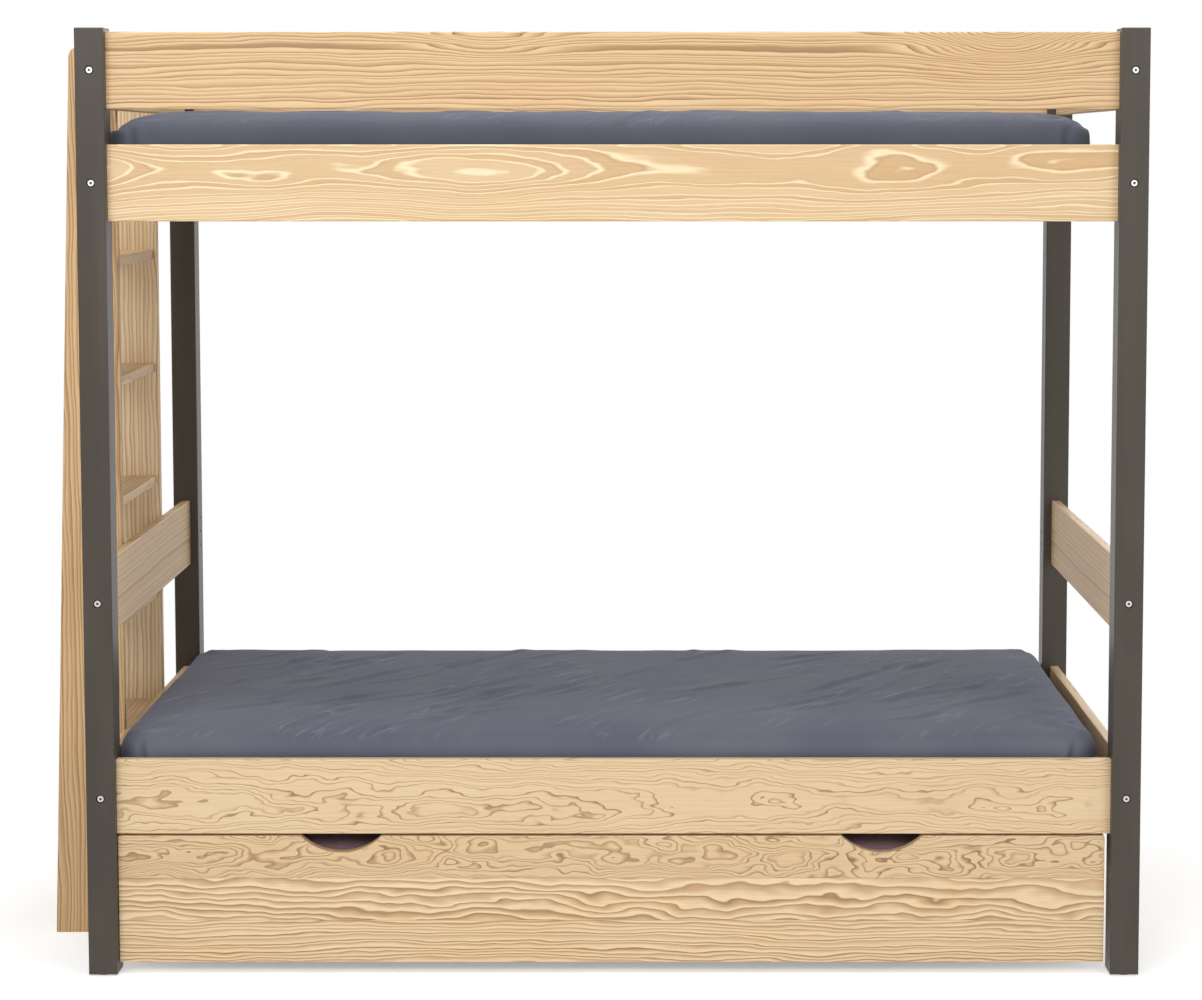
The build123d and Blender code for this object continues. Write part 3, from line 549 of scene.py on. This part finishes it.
def sheet_fabric(name, base, shade, ridge_highlight):
    """Sheet jersey: fine ribs, a heathered yarn, pressed-in slanting creases with painted
    highlight on their ridges, and a soft sheen.
    """
    material, s, bsdf = new_material(name)
    place = s.place()
    heather = s.stretched_noise(place, HEATHER_RATES, 2.0, 0.6)
    cloud = s.noise(place, 3.5, 3.0)
    parts = s.split(place)
    rib = s.wave(parts[0], KNIT_RIB)
    course = s.wave(s.math("ADD", parts[1], parts[2]), KNIT_COURSE)
    knit = s.math("MULTIPLY_ADD", rib, course, s.math("MULTIPLY", heather, 1.2))

    # creases follow the middle value of a stretched noise, in patches of the sheet's top
    slant = (0.0, 0.0, math.radians(CREASE_SLANT))
    turned = s.add("ShaderNodeMapping", {"Vector": place, "Rotation": slant}).outputs[0]
    wander = s.stretched_noise(turned, CREASE_RATES, 2.0, 0.5, 0.4)
    ridge = s.ramp(s.math("ABSOLUTE", s.math("SUBTRACT", wander, 0.5)), 0.0, 0.045, 1.0, 0.0)
    patch = s.ramp(s.stretched_noise(place, PATCH_RATES, 2.0), 0.42, 0.68)
    upward = s.ramp(s.split(s.normal())[2], 0.55, 0.95)
    ridge = s.math("MULTIPLY", ridge, s.math("MULTIPLY", patch, upward))

    colour = s.mix(s.ramp(cloud, 0.3, 0.7), base, shade)
    colour = s.mix(s.ramp(heather, 0.3, 0.75, 0.0, 0.30), colour, shade)
    # painted highlight: the crease ridges on the sheet's top are painted paler, as if they caught
    # the light
    colour = s.mix(s.math("MULTIPLY", ridge, 0.42), colour, ridge_highlight)
    s.put(bsdf.inputs["Base Color"], colour)
    bsdf.inputs["Roughness"].default_value = 0.88
    bsdf.inputs["Specular IOR Level"].default_value = 0.2
    bsdf.inputs["Sheen Weight"].default_value = 0.2
    bsdf.inputs["Sheen Roughness"].default_value = 0.5
    bsdf.inputs["Sheen Tint"].default_value = SHEEN
    s.put(bsdf.inputs["Normal"], s.bump(knit, 0.25, 0.0002, s.bump(ridge, 0.5, 0.0022)))
    return material


# Mattresses: foam in a fitted sheet, pulled a little askew so that it creases on the slant

CORNER_RADIUS = 0.060
EDGE_RADIUS = 0.034
FOOT_RADIUS = 0.014
SIDE_DRAW = 0.003
TOP_CROWN = 0.004
TINY = 1e-9


def middle(low, high):
    """A box's centre and half its size."""
    return (low + high) / 2, (high - low) / 2


def rounded(first, second):
    """Makes the square corner of two distances round; both run from the arc's centre."""
    reach = np.maximum(np.abs(first), np.abs(second))
    length = np.sqrt(first * first + second * second)
    factor = np.where(length > TINY, reach / np.maximum(length, TINY), 1.0)
    return first * factor, second * factor


def mattress_lattice(low, high, step):
    """Points and quads of a closed block's surface."""
    size = high - low
    counts = [max(2, round(length / step)) for length in size]
    wide, deep, tall = counts
    index = {}
    points = []
    faces = []

    def point(*at):
        if at not in index:
            index[at] = len(points)
            points.append([low[n] + size[n] * at[n] / counts[n] for n in range(3)])
        return index[at]

    for i in range(wide):
        for j in range(deep):
            square = ((i, j), (i + 1, j), (i + 1, j + 1), (i, j + 1))
            faces.append([point(a, b, tall) for a, b in square])
            faces.append([point(a, b, 0) for a, b in reversed(square)])
    ring = [(i, 0) for i in range(wide)] + [(wide, j) for j in range(deep)]
    ring += [(i, deep) for i in range(wide, 0, -1)] + [(0, j) for j in range(deep, 0, -1)]
    for here, after in zip(ring, ring[1:] + ring[:1]):
        for k in range(tall):
            corners = ((*here, k), (*after, k), (*after, k + 1), (*here, k + 1))
            faces.append([point(*corner) for corner in corners])
    return np.array(points), faces


def round_block(points, low, high, edge_radius):
    """Rounds the block's upright corners, its top edge and its foot, and crowns its top."""
    centre, half = middle(low, high)
    across = points - centre
    sign = np.sign(across[:, :2])
    across = np.abs(across[:, :2])
    inset = np.min(half[:2] - across, axis=1)
    rise = points[:, 2] - low[2]
    tall = high[2] - low[2]

    # the side's own profile: a distance in from the outline and a height
    deep = np.array(inset)
    top_centre = tall - edge_radius
    near = (inset < edge_radius) & (rise > top_centre)
    back, up = rounded(edge_radius - inset[near], rise[near] - top_centre)
    deep[near] = edge_radius - back
    rise[near] = top_centre + up
    low_down = (inset < FOOT_RADIUS) & (rise < FOOT_RADIUS)
    back, down = rounded(FOOT_RADIUS - inset[low_down], FOOT_RADIUS - rise[low_down])
    deep[low_down] = FOOT_RADIUS - back
    rise[low_down] = FOOT_RADIUS - down
    belly = SIDE_DRAW * ((2 * rise / tall - 1) ** 2)
    deep = deep + belly * np.clip(1 - inset / CORNER_RADIUS, 0, 1)

    # the plan: the point's ring moves to its new inset, and its corners become arcs
    on_ring = half[:2] - np.maximum(across, TINY) <= inset[:, None] + 1e-6
    moved = across - (deep - inset)[:, None] * on_ring
    pivot = half[:2] - CORNER_RADIUS
    corner = np.all(moved > pivot, axis=1)
    first, second = rounded(moved[corner, 0] - pivot[0], moved[corner, 1] - pivot[1])
    moved[corner, 0] = pivot[0] + first
    moved[corner, 1] = pivot[1] + second
    share = np.clip(across / half[:2], 0, 1)
    crown = TOP_CROWN * (1 - share[:, 0] ** 8) * (1 - share[:, 1] ** 4) * (rise > tall / 2)
    made = np.array(points)
    made[:, :2] = centre[:2] + sign * moved
    made[:, 2] = low[2] + rise + crown
    return made


def coordinates(mesh, kind="co"):
    """A mesh's points, or with kind "normal" their normals, as rows of three."""
    values = np.zeros(len(mesh.vertices) * 3, np.float32)
    mesh.vertices.foreach_get(kind, values)
    return values.reshape(-1, 3).astype(float)


def flat(points):
    """Rows of three as the plain list of values that Blender takes."""
    return points.astype(np.float32).ravel()


SHEET_SPARE = (1.010, 1.012)
HELD_SHARE = 0.3
EDGE_BAND = 0.02
EDGE_HOLD = 0.35
TOP_HOLD = 0.10
SETTLE_FRAMES = 14
SETTLE_CAP = 0.009


def settle_sheet(piece, low, high, skew):
    """Cloth simulation: a sheet cut a little too large and askew puckers over the foam."""
    points = coordinates(piece.data)
    rest = np.array(points)
    centre, half = middle(low, high)
    along, across = points[:, 0] - centre[0], points[:, 1] - centre[1]
    rest[:, 0] = centre[0] + along * SHEET_SPARE[0] + skew * across
    rest[:, 1] = centre[1] + across * SHEET_SPARE[1]
    piece.shape_key_add(name="laid")
    cut = piece.shape_key_add(name="cut")
    cut.data.foreach_set("co", flat(rest))
    cut.value = 0.0

    # the foam holds the sheet fast low on its sides, and more loosely at the edges and on top
    tall = high[2] - low[2]
    rise = points[:, 2] - low[2]
    inset = np.min(half[:2] - np.abs(points[:, :2] - centre[:2]), axis=1)
    held = piece.vertex_groups.new(name="held")
    for number in range(len(points)):
        if rise[number] < HELD_SHARE * tall:
            weight = 1.0
        elif inset[number] < EDGE_BAND:
            weight = EDGE_HOLD
        else:
            weight = TOP_HOLD
        held.add([number], weight, "REPLACE")

    cloth = piece.modifiers.new("cloth", "CLOTH")
    settings = cloth.settings
    settings.quality = 5
    settings.mass = 0.25
    settings.tension_stiffness = settings.compression_stiffness = 30.0
    settings.shear_stiffness = 12.0
    settings.bending_stiffness = 0.35
    settings.tension_damping = settings.compression_damping = 12.0
    settings.vertex_group_mass = held.name
    settings.pin_stiffness = 1.0
    settings.use_pressure = True
    settings.uniform_pressure_force = 0.6
    settings.rest_shape_key = cut
    settings.effector_weights.gravity = 0.0
    cloth.point_cache.frame_start = 1
    cloth.point_cache.frame_end = SETTLE_FRAMES
    scene = bpy.context.scene
    for frame_number in range(1, SETTLE_FRAMES + 1):
        scene.frame_set(frame_number)
    shown = piece.evaluated_get(bpy.context.evaluated_depsgraph_get())
    settled = coordinates(shown.data)
    piece.modifiers.remove(cloth)
    piece.shape_key_clear()
    piece.vertex_groups.clear()
    scene.frame_set(1)

    # no point moves further than the cap
    move = settled - points
    length = np.linalg.norm(move, axis=1, keepdims=True)
    capped = SETTLE_CAP * np.tanh(length / SETTLE_CAP)
    move *= np.where(length > TINY, capped / np.maximum(length, TINY), 1.0)
    piece.data.vertices.foreach_set("co", flat(points + move))
    piece.data.update()


def subdivide(piece):
    """One round of Catmull-Clark subdivision, applied to the mesh."""
    finer = piece.modifiers.new("finer", "SUBSURF")
    finer.levels = finer.render_levels = 1
    depsgraph = bpy.context.evaluated_depsgraph_get()
    mesh = bpy.data.meshes.new_from_object(piece.evaluated_get(depsgraph), depsgraph=depsgraph)
    piece.modifiers.remove(finer)
    piece.data = mesh


def fold_height(points, start, end, width, height):
    """Height of a crease: a soft ridge from start to end, with a shallow trough below it."""
    start, end = np.array(start), np.array(end)
    run = end - start
    length = np.linalg.norm(run)
    run = run / length
    offset = points[:, :2] - start
    along = offset @ run / length
    side = offset @ np.array((-run[1], run[0])) + 0.03 * length * np.sin(3.1 * along)
    fade = np.clip(along / 0.3, 0, 1) * np.clip((1 - along) / 0.3, 0, 1)
    fade = fade * fade * (3 - 2 * fade)
    ridge = np.exp(-((side / width) ** 2))
    trough = np.exp(-(((side + 2.1 * width) / (1.5 * width)) ** 2))
    return height * fade * (ridge - 0.45 * trough)


FOAM_UNEVEN = 0.0022
FOAM_PUCKER = 0.0010
PULL_HEIGHT = 0.0016
PULL_REACH = 0.16
TUCK_DEPTH = 0.0075
TUCK_WIDTH = 0.006
TUCK_SLANT = 0.25


def crease_sheet(piece, low, high, folds, seed, slump):
    """Moves the fine mesh's points into creases, corner tucks and the foam's soft unevenness."""
    mesh = piece.data
    points = coordinates(mesh)
    normals = coordinates(mesh, "normal")
    top = np.clip((normals[:, 2] - 0.3) / 0.5, 0, 1)
    lift = np.zeros(len(points))
    for start, end, width, height in folds:
        lift += fold_height(points, start, end, width, height) * top
    shift = Vector((seed * 3.7, seed * 1.9, seed * 5.3))
    for number, (x, y, z) in enumerate(points):
        soft = perlin.noise(Vector((x * 5.0, y * 6.0, z * 12.0)) + shift)
        slanting = Vector((x * 16.0 - y * 9.0, y * 16.0 + x * 4.0, z * 26.0))
        lift[number] += FOAM_UNEVEN * soft + FOAM_PUCKER * perlin.noise(slanting + shift)

    # the fitted sheet's corners: a sewn dart down each upright corner, and short pulls beside it
    centre, half = middle(low, high)
    facing_out = np.clip((normals[:, 2] + 0.2) / 0.8, 0, 1)
    side_on = np.clip((0.75 - normals[:, 2]) / 0.4, 0, 1) * (points[:, 2] - low[2] > 0.02)
    for end in (-1, 1):
        for edge in (-1, 1):
            corner = centre[:2] + np.array((end, edge)) * (half[:2] - CORNER_RADIUS * 0.32)
            away = np.linalg.norm(points[:, :2] - corner, axis=1)
            near = np.exp(-((away / PULL_REACH) ** 2))
            angle = np.arctan2(edge * (points[:, 1] - corner[1]), end * (points[:, 0] - corner[0]))
            pulls = np.sin(angle * 9.0 + seed) * np.exp(-(((away - 0.07) / 0.05) ** 2))
            lift += PULL_HEIGHT * near * pulls * facing_out
            tuck = corner + np.array((-end * 0.028, edge * 0.02))
            across = (points[:, 0] - tuck[0]) + TUCK_SLANT * end * (high[2] - points[:, 2])
            front = edge * (points[:, 1] - centre[1]) - half[1]
            front = np.clip((front + 0.05) / 0.03, 0, 1)
            groove = np.exp(-((across / TUCK_WIDTH) ** 2))
            groove -= 0.8 * np.exp(-(((across + end * 0.012) / 0.008) ** 2))
            lift -= TUCK_DEPTH * groove * side_on * front * (np.abs(across) < 0.05)
    points += normals * lift[:, None]

    # places where the top sinks towards an end of the bed
    for place, reach, drop in slump:
        away = (points[:, 0] - place) / reach
        points[:, 2] -= drop * np.clip(1 - np.abs(away), 0, 1) ** 2 * top
    mesh.vertices.foreach_set("co", flat(points))
    mesh.update()


FOLD_COUNT = 64
FOLD_MARGIN = 0.10
FOLD_LENGTHS = (0.10, 0.42)
FOLD_SLANT = (50.0, 13.0)
FOLD_WIDTHS = (0.006, 0.011)
FOLD_HEIGHTS = (0.0016, 0.0038)


def slanting_folds(low, high, seed):
    """Creases across the bed on nearly the same slant, with their own lengths and heights."""
    pick = random.Random(seed)
    folds = []
    for _ in range(FOLD_COUNT):
        x = pick.uniform(low[0] + FOLD_MARGIN, high[0] - FOLD_MARGIN)
        y = pick.uniform(low[1] + FOLD_MARGIN, high[1] - FOLD_MARGIN)
        length = pick.uniform(*FOLD_LENGTHS)
        angle = math.radians(pick.gauss(*FOLD_SLANT))
        reach = Vector((math.cos(angle), math.sin(angle))) * length / 2
        start = (x - reach[0], y - reach[1])
        end = (x + reach[0], y + reach[1])
        folds.append((start, end, pick.uniform(*FOLD_WIDTHS), pick.uniform(*FOLD_HEIGHTS)))
    return folds


def make_mattress(
    name, body, cover, seed, skew, step,
    edge=EDGE_RADIUS, grow=(0.0, 0.0, 0.0), folds=(), slump=(),
):
    """A mattress over its CAD solid; grow is how far its sheet goes past it left, right and up."""
    low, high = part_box(name)
    low, high = np.array(low), np.array(high)
    low[0] -= grow[0]
    high[0] += grow[1]
    high[2] += grow[2] - TOP_CROWN
    points, faces = mattress_lattice(low, high, step)
    mesh = bpy.data.meshes.new(f"{name}_sheet")
    mesh.from_pydata(round_block(points, low, high, edge).tolist(), [], faces)
    piece = bpy.data.objects.new(f"{name}_in_sheet", mesh)
    bpy.context.scene.collection.objects.link(piece)
    settle_sheet(piece, low, high, skew)
    subdivide(piece)
    crease_sheet(piece, low, high, [*folds, *slanting_folds(low, high, seed)], seed, slump)
    for polygon in piece.data.polygons:
        polygon.use_smooth = True
    piece.data.materials.append(cover)
    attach(piece, body)
    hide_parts(name)


# Floor, light and background

WHITE = (1.0, 1.0, 1.0, 1.0)
FLOOR_SIZE = 60.0
FLOOR_WHITE = (0.90, 0.90, 0.90, 1.0)
FLOOR_LIFT = (0.97, 0.99, 1.0, 1.0)
FLOOR_LIFT_LEVEL = 0.34
FLOOR_SPREAD = (0.62, 1.0, 1.0)
FLOOR_FADE = (0.55, 1.25)
FILL_WHITE = (1.0, 0.99, 0.975, 1.0)
FILL_LEVEL = 0.36


def make_floor():
    """A white floor that keeps the bed's shadow, and turns plain white away from it."""
    bpy.ops.mesh.primitive_plane_add(size=FLOOR_SIZE, location=(0.0, 0.0, 0.0))
    floor = bpy.context.object
    floor.name = "floor"
    material, s, bsdf = new_material("floor_white")
    bsdf.inputs["Base Color"].default_value = FLOOR_WHITE
    bsdf.inputs["Roughness"].default_value = 0.9
    bsdf.inputs["Specular IOR Level"].default_value = 0.1
    spread = s.vector("MULTIPLY", s.place(), FLOOR_SPREAD)
    away = s.add("ShaderNodeVectorMath", {0: spread}, operation="LENGTH").outputs["Value"]
    far = s.ramp(away, *FLOOR_FADE)
    seen = s.seen()
    glow = s.add("ShaderNodeEmission", {"Color": WHITE, "Strength": 1.0})
    strength = s.math("MULTIPLY", seen, FLOOR_LIFT_LEVEL)
    lift = s.add("ShaderNodeEmission", {"Color": FLOOR_LIFT, "Strength": strength})
    near = s.add("ShaderNodeAddShader", {0: bsdf.outputs[0], 1: lift.outputs[0]})
    inputs = {0: s.math("MULTIPLY", far, seen), 1: near.outputs[0], 2: glow.outputs[0]}
    blend = s.add("ShaderNodeMixShader", inputs)
    s.put(material.node_tree.nodes["Material Output"].inputs["Surface"], blend.outputs[0])
    floor.data.materials.append(material)


def make_world():
    """A background that looks plain white and lights the bed with a softer fill."""
    world = bpy.data.worlds.new("studio")
    world.use_nodes = True
    bpy.context.scene.world = world
    tree = world.node_tree
    s = Shader(tree)
    fill = tree.nodes["Background"]
    fill.inputs["Color"].default_value = FILL_WHITE
    fill.inputs["Strength"].default_value = FILL_LEVEL
    white = s.add("ShaderNodeBackground", {"Color": WHITE, "Strength": 1.0})
    blend = s.add("ShaderNodeMixShader", {0: s.seen(), 1: fill.outputs[0], 2: white.outputs[0]})
    s.put(tree.nodes["World Output"].inputs["Surface"], blend.outputs[0])


def make_light(name, place, target, size, watts):
    """A rectangular lamp aimed at a point."""
    data = bpy.data.lights.new(name, "AREA")
    data.shape = "RECTANGLE"
    data.size, data.size_y = size
    data.energy = watts
    light = bpy.data.objects.new(name, data)
    light.location = place
    aim = Vector(target) - Vector(place)
    light.rotation_euler = aim.to_track_quat("-Z", "Y").to_euler()
    bpy.context.scene.collection.objects.link(light)


make_floor()
make_world()
make_light("key", (-1.6, -4.2, 3.4), (0.0, 0.0, 0.9), (3.0, 2.4), 100.0)
make_light("fill", (3.2, -4.0, 2.2), (0.2, 0.0, 0.8), (2.4, 2.4), 42.0)
make_light("over", (0.0, -0.3, 4.4), (0.0, 0.0, 0.0), (3.6, 2.4), 112.0)
make_light("behind", (1.4, 4.4, 3.2), (0.0, 0.0, 0.8), (2.4, 2.4), 62.0)


# Finishes of the CAD nodes

SLAT_PITCH = 0.142

pine("upper_guard_front", "x", STRAIGHT, 1.0)
pine("upper_rail_front", "x", BOLD, 2.0)
pine("lower_rail_front", "x", FINE, 3.0)
pine("upper_guard_back", "x", CLOSE, 4.0)
pine("upper_rail_back", "x", WIDE, 5.0)
pine("lower_rail_back", "x", CLOSE, 6.0)
for number, level in enumerate(("upper_guard", "upper_rail", "lower_guard", "lower_rail")):
    pine(f"{level}_left", "y", CALM, 7.0 + number)
    pine(f"{level}_right", "y", CALM, 12.0 + number)
for number, side in enumerate(("front", "back")):
    # the front stile takes a darker copy of the pine as painted shade, the back stile a paler one
    # as painted light
    pine(f"ladder_stile_{side}", "z", (SHADED, PAINTED_LIGHT_PINE)[number], 17.0 + number)
    pine(f"upper_cleat_{side}", "x", CLOSE, 19.0 + number)
    pine(f"lower_cleat_{side}", "x", CLOSE, 21.0 + number)
for number in range(1, 7):
    pine(f"ladder_tread_{number}", "tread", CALM, 23.0 + number)
pine_strips("trundle_front_panel", (WILD, WAVY, LINED), 31.0)
pine("trundle_back_panel", "x", CLOSE, 34.0)
pine("trundle_side_left", "y", CLOSE, 35.0)
pine("trundle_side_right", "y", CLOSE, 36.0)
for number, level in enumerate(("upper", "lower", "trundle")):
    pine_row(f"{level}_slats", "y", CLOSE, 37.0 + number, 0, SLAT_PITCH)
pine_row("trundle_cleats", "x", CLOSE, 40.0, 1, 0.3)
pine_row("caster_blocks", "x", CLOSE, 41.0, 0, 0.5)

paint = dark_paint()
steel = bright_steel()
strap = webbing()
dowel_wood = plastic("beech_dowel", srgb(214, 178, 132), 0.5)
glide = plastic("glide_plastic", srgb(58, 54, 48), 0.5)
wheel = plastic("wheel_plastic", srgb(52, 52, 54), 0.38)
for side in ("front_left", "front_right", "back_left", "back_right"):
    dress(f"post_{side}", paint)
    dress(f"caster_wheel_{side}", wheel)
for name in (
    "side_board_bolts", "end_board_bolts", "barrel_nuts", "slat_frame_screws", "ladder_screws",
    "trundle_screws", "caster_screws", "caster_brackets", "caster_axles",
):
    dress(name, steel)
for name in ("frame_dowels", "ladder_dowels", "trundle_dowels"):
    dress(name, dowel_wood)
dress("slat_straps", strap)
dress("glides", glide)

# Sheets

slate = sheet_fabric("sheet_slate", srgb(105, 108, 119), srgb(95, 98, 114), srgb(142, 145, 154))
# painted shade: a darker copy of the slate sheet for the upper mattress, standing in for the shade
# it lies in
slate_painted_shade = sheet_fabric("sheet_dusk", srgb(91, 95, 107), srgb(83, 87, 102), srgb(126, 130, 141))
mauve = sheet_fabric("sheet_mauve", srgb(140, 114, 122), srgb(128, 104, 114), srgb(160, 142, 150))
# The creases that show in the photograph: start, end, width and height
LONG_FOLDS = (
    ((0.43, -0.14), (0.72, 0.26), 0.008, 0.0050),
    ((0.74, -0.02), (0.83, 0.20), 0.007, 0.0042),
    ((0.60, -0.22), (0.80, 0.04), 0.008, 0.0036),
    ((-0.62, -0.10), (-0.36, 0.22), 0.008, 0.0036),
    ((-0.40, -0.22), (-0.10, 0.14), 0.008, 0.0034),
    ((-0.12, -0.18), (0.16, 0.20), 0.008, 0.0034),
)
# Where the upper mattress sinks towards its ends: place along the bed, reach and drop
END_SLUMP = ((-0.93, 0.10, 0.020), (1.01, 0.08, 0.010))
make_mattress(
    "lower_mattress", "bed_frame", slate, 3, 0.035, 0.015,
    grow=(0.018, 0.004, 0.0), folds=LONG_FOLDS,
)
make_mattress("upper_mattress", "bed_frame", slate_painted_shade, 5, 0.035, 0.017, slump=END_SLUMP)
make_mattress(
    "trundle_mattress", "trundle", mauve, 8, 0.03, 0.020,
    edge=0.016, grow=(0.0, 0.0, 0.020),
)
